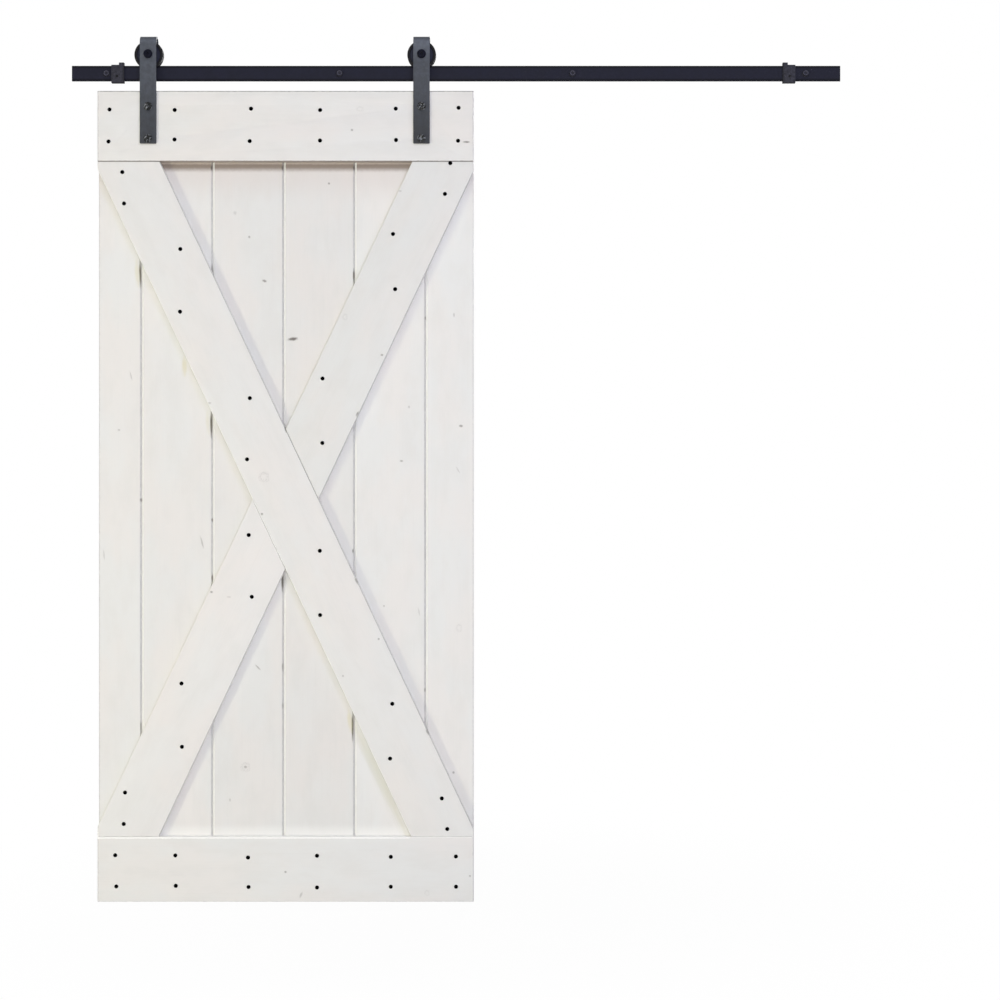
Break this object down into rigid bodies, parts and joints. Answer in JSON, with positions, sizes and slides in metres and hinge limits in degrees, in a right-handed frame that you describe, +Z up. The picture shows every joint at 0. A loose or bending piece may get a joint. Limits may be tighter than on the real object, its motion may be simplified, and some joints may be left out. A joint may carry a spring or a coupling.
{
  "type": "sliding barn door",
  "caption": "Sliding plank door leaf with an X brace, hung by strap hangers with grooved wheels from a flat wall rail with end stops.",
  "frame": {"origin": "on the wall plane, in the middle of the rail's line of bolts", "axes": "+X along the rail to the right, +Y into the wall, +Z up"},
  "size_m": [2.012, 0.0998, 2.2633],
  "materials": {
    "black_rail": "satin powder coat",
    "black_fasteners": "satin black",
    "dark_stops": "satin powder coat",
    "grey_strap": "satin powder coat",
    "black_wheel": "satin",
    "bearing_steel": "ground",
    "black_rubber": "matt",
    "white_painted_wood": "satin white paint"
  },
  "bodies": {
    "track": {"rail": "black_rail", "lag_bolts": "black_fasteners", "wall_spacers": "black_rail", "stop_left": "dark_stops", "stop_right": "dark_stops", "bumper_left": "black_rubber", "bumper_right": "black_rubber"},
    "door": {"strap_left": "grey_strap", "strap_right": "grey_strap", "axle_bolts": "black_fasteners", "axle_nuts": "black_fasteners", "bearing_inner_rings": "bearing_steel", "door_bolts": "black_fasteners", "door_nuts": "black_fasteners", "plank_1": "white_painted_wood", "plank_2": "white_painted_wood", "plank_3": "white_painted_wood", "plank_4": "white_painted_wood", "plank_5": "white_painted_wood", "plank_6": "white_painted_wood", "top_board": "white_painted_wood", "bottom_board": "white_painted_wood", "long_brace": "white_painted_wood", "upper_brace": "white_painted_wood", "lower_brace": "white_painted_wood"},
    "wheel_left": {"wheel_left": "black_wheel", "bearing_left": "bearing_steel"},
    "wheel_right": {"wheel_right": "black_wheel", "bearing_right": "bearing_steel"}
  },
  "joints": [
    {"name": "door_slide", "type": "slide", "parent": "track", "child": "door", "axis": [1, 0, 0], "range_m": [-0.0326, 0.9126]},
    {"name": "wheel_left_turn", "type": "hinge", "parent": "door", "child": "wheel_left", "pos_m": [-0.804, -0.033, 0.0478], "axis": [0, 1, 0], "continuous": true},
    {"name": "wheel_right_turn", "type": "hinge", "parent": "door", "child": "wheel_right", "pos_m": [-0.09, -0.033, 0.0478], "axis": [0, 1, 0], "continuous": true}
  ],
  "couplings": [
    {"joint": "wheel_left_turn", "follows": "door_slide", "rad_per_m": 36.364},
    {"joint": "wheel_right_turn", "follows": "door_slide", "rad_per_m": 36.364}
  ]
}
